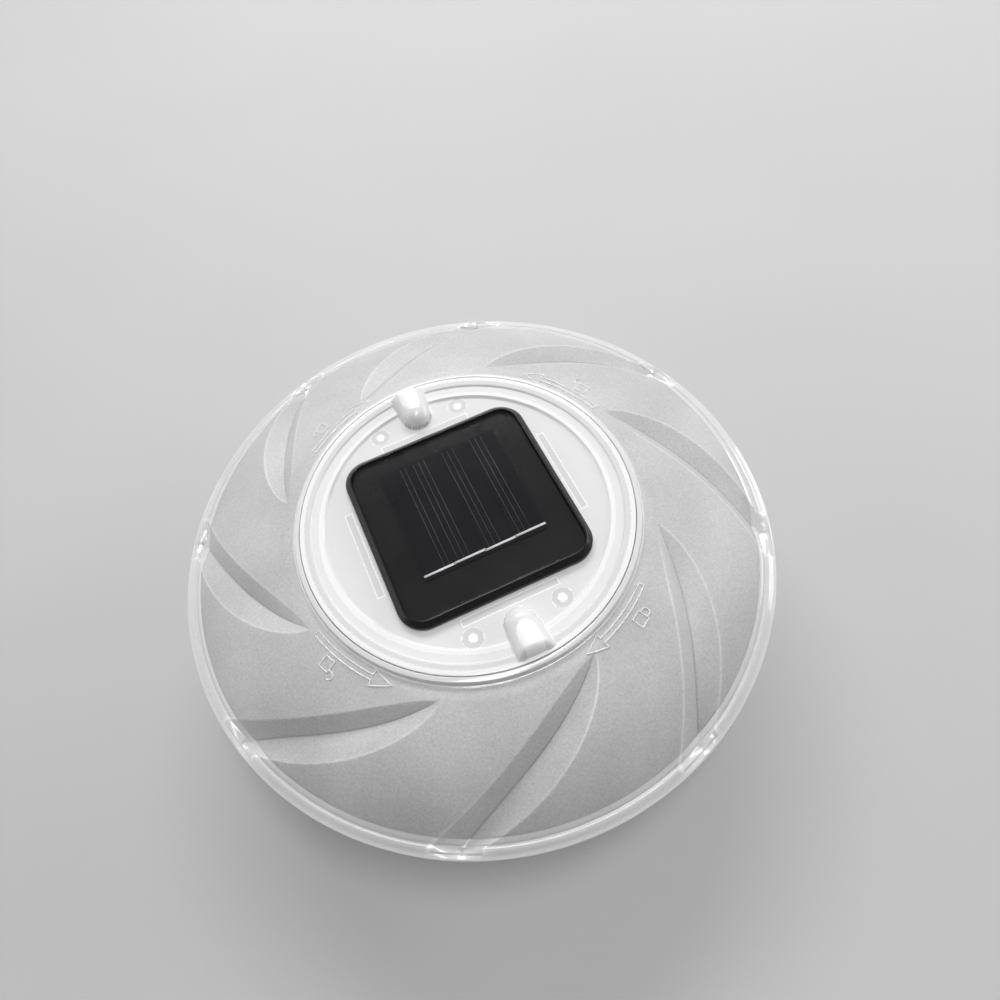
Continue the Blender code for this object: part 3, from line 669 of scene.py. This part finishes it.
washer_profile = softened([(5.4, 24.8), (5.4, 24.4), (3.9, 24.4), (3.9, 24.8)], 0.12)
washer = turned("button_washer", washer_profile, 64, seal_rubber, button_place, closed=True)
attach(washer, "core")
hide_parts("button_seal")


# ---------------------------------------------------------------------------
# Power button. A grey silicone plunger, pressed from under the cup against the
# switch. The flange at its top keeps it in the cup's floor.

button_rubber = plain_finish("button_rubber", (0.28, 0.28, 0.30), 0.55, grain=1600.0)
button_low, button_high = (corner.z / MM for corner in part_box("power_button"))
flange_low_side = button_high - 0.6
button_outline = [(0.0, button_high), (5.0, button_high), (5.0, flange_low_side), (3.5, flange_low_side),
                  (3.5, button_low), (2.4, button_low), (2.1, button_low + 0.25),
                  (0.0, button_low + 0.35)]
button_profile = softened(button_outline, 0.25, closed=False)
button = turned("button_fine", button_profile, 64, button_rubber, button_place)
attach(button, "button")
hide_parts("power_button")


# ---------------------------------------------------------------------------
# Board. Green circuit board with lamps underneath, and the charging and lamp
# control parts on top. The plain moulded parts keep their shapes.

def dress(slot_name, material, *names):
    """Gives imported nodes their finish; they keep their own shape and body."""
    for name in names:
        node = nodes[name]
        node.data.materials.clear()
        node.data.materials.append(material)


board_green = plain_finish("board_green", (0.04, 0.22, 0.09), 0.35, grain=400.0)
component_black = plain_finish("component_black", (0.03, 0.03, 0.035), 0.45)
switch_metal = plain_finish("switch_metal", (0.6, 0.6, 0.62), 0.3, 1.0)
screw_steel = plain_finish("screw_steel", (0.62, 0.62, 0.64), 0.28, 1.0, grain=2500.0)
led_package = plain_finish("led_package", (0.9, 0.86, 0.62), 0.35)
dress("board_green", board_green, "main_board")
dress("component_black", component_black, "controller_ic", "inductor", "capacitor", "resistor_1",
      "resistor_2")
dress("switch_metal", switch_metal, "tact_switch")
dress("screw_steel", screw_steel, "board_screw_1", "board_screw_2",
      *(f"cap_screw_{n}" for n in range(1, 5)))
dress("led_package", led_package, *(f"led_{n}" for n in range(1, 7)))


# ---------------------------------------------------------------------------
# Battery. A green sleeved cell in a black holder on the board, between a flat
# contact plate and a conical spring.

holder_black = plain_finish("holder_black", (0.02, 0.02, 0.02), 0.5)
battery_wrap = plain_finish("battery_wrap", (0.05, 0.30, 0.12), 0.28, grain=300.0,
                            bump_strength=0.03)
tinned_metal = plain_finish("tinned_metal", (0.85, 0.85, 0.86), 0.25, 1.0)
spring_steel = plain_finish("spring_steel", (0.72, 0.72, 0.73), 0.25, 1.0)
dress("holder_black", holder_black, "battery_holder")
dress("battery_wrap", battery_wrap, "battery_cell")
dress("tinned_metal", tinned_metal, "contact_plate")
dress("spring_steel", spring_steel, "contact_spring")


# ---------------------------------------------------------------------------
# Solar leads. A red and a black wire from the panel, under the cap and down
# through the plate's notch to the board.

wire_red = plain_finish("wire_red", (0.75, 0.02, 0.03), 0.4, bump_strength=0.03)
wire_black = plain_finish("wire_black", (0.02, 0.02, 0.02), 0.4, bump_strength=0.03)
dress("wire_red", wire_red, "solar_wire_red")
dress("wire_black", wire_black, "solar_wire_black")


# ---------------------------------------------------------------------------
# Reflector plate. A white disc under the cap that hides the battery and throws
# the light outwards.

white_plastic = plain_finish("white_plastic", (0.93, 0.92, 0.935), 0.4, grain=500.0,
                             bump_strength=0.05)
dress("white_plastic", white_plastic, "reflector_plate")


# ---------------------------------------------------------------------------
# Core cap. A clear moulded lid with a stepped ring and two thumb grips, hollow at
# the nose. Four stiffening ribs stand under it, and four bosses that take the
# screws from below.

cap_face, cap_under = 58.0, 56.5
plate_radius, step_radius = 40.6, 44.6
plate_step, ring_step = 0.7, 0.5
cap_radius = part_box("core_cap")[1].x / MM
grip_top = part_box("core_cap")[1].z / MM
grip_half, grip_nose, grip_end = 5.5, 32.8, 46.9
grip_neck = 0.86
grip_wall, hollow_end = 1.5, 40.4
fall_start, fall_run = 2.6, 2.8
rib_x, rib_y, rib_half_length, rib_half_width = 31.0, 30.7, 14.0, 0.9
rib_low, rib_high = 54.4, 57.0
boss_radius, pilot_radius = 3.0, 1.3


def ease(t):
    """3t^2 - 2t^3, with t held between 0 and 1."""
    t = np.clip(t, 0.0, 1.0)
    return t * t * (3.0 - 2.0 * t)


def grip_height(x, y, inset):
    """Top of a thumb grip at a place: a round-nosed half barrel that widens outwards.

    Its half width w runs as an ellipse over the nose and then grows evenly to the end;
    across it the height is a half ellipse, proportional to sqrt(w^2 - x^2), and from
    fall_start before the end it falls away as a quarter ellipse. inset is the wall that
    stays over a hollow, which ends further in.
    """
    half = grip_half - inset
    nose_end = grip_nose + grip_half
    out = np.abs(y)
    nose = np.sqrt(np.clip(1.0 - ((nose_end - out) / half) ** 2, 0.0, 1.0))
    widening = grip_neck + (1.0 - grip_neck) * np.clip((out - nose_end) / (grip_end - nose_end), 0.0, 1.0)
    width = half * np.where(out < nose_end, grip_neck * nose, widening)
    width = np.where(out > (grip_end if inset == 0 else hollow_end), 0.0, width)
    rise = (grip_top - cap_face - inset) / half
    end = np.clip((out - grip_end + fall_start) / fall_run, 0.0, 1.0)
    return cap_face + rise * np.sqrt(np.clip(width ** 2 - x ** 2, 0.0, None) * (1.0 - end ** 2))


top_radii = np.concatenate([np.linspace(0.0, 26.0, 7), np.arange(27.0, 47.6, 0.26), [47.7]])
top_z = (cap_face + plate_step * ease((top_radii - plate_radius) / plate_step)
         + ring_step * ease((top_radii - step_radius) / ring_step))
cap_edge = [(47.9, 59.15), (48.02, 59.0), (cap_radius, 58.8), (cap_radius, 56.5), (47.95, 56.4)]
cap_groove = [(46.7, 56.4), (46.7, 57.8), (44.5, 57.8), (44.5, 56.4)]
cap_skirt = [(42.6, 56.4), (42.6, 53.6), (41.2, 53.6), (41.2, 56.4)]
under_rows = np.concatenate([np.arange(41.0, 31.0, -0.35), np.linspace(30.0, 0.0, 6)])
cap_profile = np.vstack([np.stack([top_radii, top_z], -1), cap_edge, cap_groove, cap_skirt,
                         np.stack([under_rows, np.full(len(under_rows), cap_under)], -1)])
cap_grid = turned_grid(cap_profile, 600)
x, y = cap_grid[..., 0] / MM, cap_grid[..., 1] / MM
top_rows = len(top_radii)
first_under = len(cap_profile) - len(under_rows)
# The grips rise out of the lid with a fillet: half of a + b + sqrt((a - b)^2 + fillet) is
# close to the higher of a, the lid, and b, the grip, which is far below where there is none.
fillet = 0.02
flat_top = cap_grid[:top_rows, :, 2] / MM
grip_skin = grip_height(x[:top_rows], y[:top_rows], 0.0)
grip_skin = np.where(grip_skin > cap_face + 1e-6, grip_skin, cap_face - 3.0)
soft_max = 0.5 * (flat_top + grip_skin + np.sqrt((flat_top - grip_skin) ** 2 + fillet))
cap_grid[:top_rows, :, 2] = np.minimum(soft_max, grip_top) * MM
hollow = grip_height(x[first_under:], y[first_under:], grip_wall)
hollow = np.where(hollow > cap_face + 1e-6, hollow, cap_under)
cap_grid[first_under:, :, 2] = np.maximum(cap_grid[first_under:, :, 2], hollow * MM)
core_cap = skin("core_cap_fine", cap_grid, material=clear)


def bar_grid(outline, low, high):
    """Rows of a closed bar over a plan outline, in metres: pole, outline, outline, pole."""
    plan = np.array(outline, float)
    middle = np.tile(plan.mean(0), (len(plan), 1))
    rows = ((middle, low), (plan, low), (plan, high), (middle, high))
    return np.stack([np.column_stack([row, np.full(len(plan), z)]) for row, z in rows]) * MM


def plain_bar(middle, half_x, half_y):
    """Upright bar as high as a rib, with softened corners in plan."""
    left, right = middle[0] - half_x, middle[0] + half_x
    near, far = middle[1] - half_y, middle[1] + half_y
    plan = softened([(left, near), (right, near), (right, far), (left, far)], 0.4)
    return skin("tool", bar_grid(plan, rib_low, rib_high))


for place in screw_places:
    join_to(core_cap, plain_rod(boss_radius, 50.8, rib_high, place))
    join_to(core_cap, plain_rod(pilot_radius, 50.0, 55.6, place), operation="DIFFERENCE")
for side in (-1, 1):
    join_to(core_cap, plain_bar((0.0, side * rib_y), rib_half_length, rib_half_width))
    join_to(core_cap, plain_bar((side * rib_x, 0.0), rib_half_width, rib_half_length))
wire_hole = (-21.0, -18.0)
join_to(core_cap, plain_rod(2.6, 55.0, 59.0, wire_hole), operation="DIFFERENCE")
smooth(core_cap)


def edge_line(distance, line):
    """1 on the line where a signed distance is 0, falling to 0 at line millimetres from it."""
    return np.clip(1.0 - np.abs(distance) / line, 0.0, 1.0)


def cap_sections(piece):
    """Point attribute "section": how white and cloudy the cap looks at a point, up to 1.

    The plate is even, the ribs and bosses a little clearer and the skirt cloudier. The
    outlines of ribs and bosses, where a wall meets the plate, and the tongue on each grip
    are the whitest: painted highlights, the tongue in part the cloudy solid end of the grip.
    A grip's foot is the clearest, a painted shade line.
    """
    points = np.empty(len(piece.data.vertices) * 3, np.float32)
    piece.data.vertices.foreach_get("co", points)
    x, y = points[0::3] / MM, points[1::3] / MM
    radius = np.hypot(x, y)
    section = np.where(radius > plate_radius, 0.8, 0.76)
    section = np.maximum(section, np.where((radius > 41.2) & (radius < 42.6), 0.9, 0.0))
    section = np.where((radius > 44.7) & (radius < 46.5), 0.68, section)
    section = np.where(radius > 46.7, 0.88, section)
    for across, along in ((np.abs(y) - rib_y, x), (np.abs(x) - rib_x, y)):
        outside = np.maximum(np.abs(across) - rib_half_width, np.abs(along) - rib_half_length)
        section = np.where(outside < 0.0, 0.67, section)
        # Painted highlight: a white line along each rib's outline.
        section = np.maximum(section, 1.15 * edge_line(outside - 0.15, 0.5))
    boss = np.hypot(np.abs(x) - screw_x, np.abs(y) - screw_y)
    section = np.where(boss < boss_radius, 0.66, section)
    # Painted highlight: a white line round each boss.
    section = np.maximum(section, edge_line(boss - boss_radius, 0.5))
    section = np.where(boss < pilot_radius, 1.0, section)
    barrel = grip_height(x, y, 0.0) - cap_face
    # Painted shade: a clearer line round the foot of each grip.
    foot = edge_line(barrel - 0.5, 0.9) * np.clip((42.0 - radius) / 2.0, 0.0, 1.0)
    tongue = np.hypot(x / 3.0, (np.minimum(np.abs(y), 41.5) - 41.5) / 4.0)
    section = np.where(barrel > 1e-4, 0.74 - 0.6 * foot, section)
    # Partly painted highlight: the white tongue along the top of each grip's solid end.
    section = np.where(barrel > 1e-4, np.maximum(section, ease((1.15 - tongue) / 0.3)), section)
    made = piece.data.attributes.new("section", "FLOAT", "POINT")
    made.data.foreach_set("value", section.astype(np.float32))


cap_sections(core_cap)
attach(core_cap, "core")
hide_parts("core_cap")


# ---------------------------------------------------------------------------
# Solar panel. A black tray with rounded shoulders, the board with four silicon
# strips, a soldered ribbon across them, and clear resin poured level with the rim.

panel_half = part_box("panel_tray")[1].x / MM
panel_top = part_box("panel_tray")[1].z / MM
panel_corner = 7.5


def rounded_square(half, corner, per_corner=14, per_side=6):
    """Points round a square with round corners, anticlockwise from the right side.

    A corner is its centre plus corner (cos a, sin a) over a quarter turn. Points shared
    out evenly along a side lead to the next corner; the last side closes without any.
    """
    arcs = []
    for quarter, (right, up) in enumerate(((1, 1), (-1, 1), (-1, -1), (1, -1))):
        angle = (quarter + np.linspace(0.0, 1.0, per_corner)) * np.pi / 2
        centre = np.array([right, up]) * (half - corner)
        arcs.append(centre + corner * np.stack([np.cos(angle), np.sin(angle)], -1))
    points = arcs[:1]
    for before, after in zip(arcs, arcs[1:]):
        points += [np.linspace(before[-1], after[0], per_side + 2)[1:-1], after]
    return np.vstack(points)


def squares(name, stations, material, wrap_rows=False):
    """Skin through rounded squares; each station is (inset from the panel's side, height)."""
    rows = []
    for inset, height in stations:
        half = max(panel_half - inset, 0.0)
        plan = rounded_square(half, min(max(panel_corner - inset, 0.2), half))
        rows.append(np.column_stack([plan, np.full(len(plan), height)]))
    return smooth(skin(name, np.stack(rows) * MM, wrap_rows, material), 40.0)


flat_grain = {"grain": 3000.0, "bump_strength": 0.0}
panel_black = plain_finish("panel_black", (0.016, 0.016, 0.0175), 0.26, specular=0.3, **flat_grain)
tray_low, tray_floor = cap_face + 0.03, 58.8
to_centre = 28.7
outer_wall = [(0.05, tray_low), (0.0, 58.4), (0.0, 59.25), (0.06, 59.45), (0.2, 59.62)]
shoulder = [(1.36, panel_top - 0.22), (1.50, panel_top - 0.11), (1.66, panel_top - 0.03),
            (1.84, panel_top)]
pocket = [(1.98, panel_top), (2.0, panel_top - 0.06), (2.0, tray_floor), (to_centre, tray_floor),
          (to_centre, tray_low)]
tray_stations = outer_wall + shoulder + pocket
tray = squares("panel_tray_fine", tray_stations, panel_black, wrap_rows=True)
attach(tray, "core")
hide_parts("panel_tray")

board_black = plain_finish("board_black", (0.0155, 0.0155, 0.0165), 0.2, **flat_grain)
dress("board_black", board_black, "solar_backboard")

# Monocrystalline silicon: near black, with the slightest blue cast.
silicon = plain_finish("silicon", (0.018, 0.018, 0.021), 0.18, 0.25, **flat_grain)
dress("silicon", silicon, *(f"solar_cell_{n}" for n in range(1, 5)))

strip_width = 9.25
strip_left = -2 * strip_width
cell_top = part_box("solar_cell_1")[1].z / MM
finger_low, finger_high, finger_half = -14.6, 20.4, 0.04
finger_silver = plain_finish("finger_silver", (0.20, 0.20, 0.21), 0.5, 0.2)
ribbon_tin = plain_finish("ribbon_tin", (0.97, 0.97, 0.97), 0.35, 0.0)


def bars(name, outlines, low, high, material):
    """Several thin bars as one mesh, each a closed body."""
    parts = [skin("bar", bar_grid(outline, low, high)) for outline in outlines]
    return gathered(name, parts, material)


finger_outlines = []
for strip in range(4):
    for offset in ((6.6, 8.1) if strip == 0 else (1.5, 3.2, 4.9)):
        at = strip_left + strip * strip_width + offset
        left, right = at - finger_half, at + finger_half
        finger_outlines.append([(left, finger_low), (right, finger_low), (right, finger_high),
                                (left, finger_high)])
fingers = bars("silver_fingers", finger_outlines, cell_top + 0.01, cell_top + 0.04, finger_silver)
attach(fingers, "core")

ribbon_outlines = []
for strip in range(4):
    left = strip_left + strip * strip_width + (0.3 if strip == 0 else 0.0)
    right = strip_left + (strip + 1) * strip_width + (0.25 if strip < 3 else 0.0)
    drop = -14.9 + 0.18 * (strip % 2)
    ribbon_outlines.append([(left, drop - 0.36), (right, drop - 0.26), (right, drop + 0.40),
                            (left, drop + 0.30)])
ribbon = bars("busbar_ribbon_fine", ribbon_outlines, cell_top + 0.06, cell_top + 0.16, ribbon_tin)
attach(ribbon, "core")
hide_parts("busbar_ribbon")

resin = plain_finish("panel_resin", (0.012, 0.012, 0.014), 0.08, specular=0.6, alpha=0.1,
                     **flat_grain)
resin_low = cell_top + 0.2
resin_stations = [(to_centre, panel_top), (6.0, panel_top), (2.3, panel_top), (2.14, panel_top - 0.01),
                  (2.06, panel_top - 0.04), (2.04, resin_low), (to_centre, resin_low)]
cover = squares("panel_resin_fine", resin_stations, resin)
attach(cover, "core")
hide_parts("panel_cover")


# ---------------------------------------------------------------------------
# Stage. A plain pale matt floor, slightly uneven in tone. It lies a little under
# the foot, so that the two surfaces don't fight.

def stage_finish():
    """Matt pale paint, two close greys that drift into each other."""
    made, tree, shader = new_finish("pale_floor")
    shader.inputs["Roughness"].default_value = 0.8
    drift = grain_noise(tree, 6.0, 2.0)
    tint = tint_ramp(tree, drift, (0.0, (0.52, 0.52, 0.52)), (1.0, (0.56, 0.56, 0.555)))
    tree.links.new(tint, shader.inputs["Base Color"])
    return made


floor_half, floor_level = 3.0, -0.0004
floor_corners = [(x * floor_half, y * floor_half, floor_level)
                 for x, y in ((-1, -1), (1, -1), (1, 1), (-1, 1))]
floor_mesh = bpy.data.meshes.new("floor")
floor_mesh.from_pydata(floor_corners, [], [(0, 1, 2, 3)])
floor_mesh.materials.append(stage_finish())
floor = bpy.data.objects.new("floor", floor_mesh)
bpy.context.scene.collection.objects.link(floor)


# ---------------------------------------------------------------------------
# Light. A long narrow source high behind the float, one lower down on either
# side and a small one overhead. The sky is brightest at the horizon and dims
# overhead and on the viewer's side.

rim_height = 0.04


def area_light(name, place, wide, high, power):
    """A rectangular lamp aimed at the middle of the rim; sizes in metres, power in watts."""
    data = bpy.data.lights.new(name, "AREA")
    data.shape = "RECTANGLE"
    data.size = wide
    data.size_y = high
    data.energy = power
    lamp = bpy.data.objects.new(name, data)
    lamp.location = place
    aim = Vector((0, 0, rim_height)) - Vector(place)
    lamp.rotation_euler = aim.to_track_quat("-Z", "Y").to_euler()
    bpy.context.scene.collection.objects.link(lamp)


area_light("back_source", (0.23, 0.85, 0.78), 1.0, 0.25, 8.0)
area_light("left_source", (-0.98, 0.52, 0.38), 1.4, 0.6, 2.4)
area_light("right_source", (1.10, 0.0, 0.40), 0.7, 0.32, 4.0)
area_light("top_source", (0.05, -0.06, 1.10), 0.6, 0.24, 5.2)

world = bpy.data.worlds.new("soft_sky")
world.use_nodes = True
sky = world.node_tree
background = sky.nodes["Background"]
direction = sky.nodes.new("ShaderNodeTexCoord")
split = sky.nodes.new("ShaderNodeSeparateXYZ")
away = sky.nodes.new("ShaderNodeVectorMath")
away.operation = "DOT_PRODUCT"
away.inputs[1].default_value = (0.26, 0.966, 0.0)
sky.links.new(direction.outputs["Generated"], split.inputs["Vector"])
sky.links.new(direction.outputs["Generated"], away.inputs[0])
overhead = tint_ramp(sky, split.outputs["Z"], (0.0, (1.0, 1.0, 1.0)), (0.85, (0.42, 0.42, 0.43)))
behind = share_out(sky, away.outputs["Value"], 0.12, 0.45, -0.8, 0.1)
sky.links.new(overhead, background.inputs["Color"])
sky.links.new(behind, background.inputs["Strength"])
bpy.context.scene.world = world
bpy.context.scene.view_settings.view_transform = "Standard"


# ---------------------------------------------------------------------------
# Camera. It stands close by and looks steeply down at the middle of the rim,
# turned a little to one side and rolled.

view_distance = 0.19991
elevation = math.radians(63.09)
heading = math.radians(12.75)
roll = math.radians(12.33)
sensor_width, focal_share = 36.0, 0.64028
level_reach = math.cos(elevation)
back = Vector((-math.sin(heading) * level_reach, -math.cos(heading) * level_reach,
               math.sin(elevation)))
level = Vector((math.cos(heading), -math.sin(heading), 0.0))
upright = back.cross(level)
right = math.cos(roll) * level - math.sin(roll) * upright
upward = math.sin(roll) * level + math.cos(roll) * upright
lens = bpy.data.cameras.new("view")
lens.sensor_width = sensor_width
lens.lens = sensor_width * focal_share
lens.shift_x = 0.02945
lens.shift_y = 0.03907
lens.clip_start = 0.01
viewer = bpy.data.objects.new("view", lens)
turn = Matrix((right, upward, back)).transposed()
stand = back * view_distance + Vector((0, 0, rim_height))
viewer.matrix_world = Matrix.Translation(stand) @ turn.to_4x4()
bpy.context.scene.collection.objects.link(viewer)
bpy.context.scene.camera = viewer
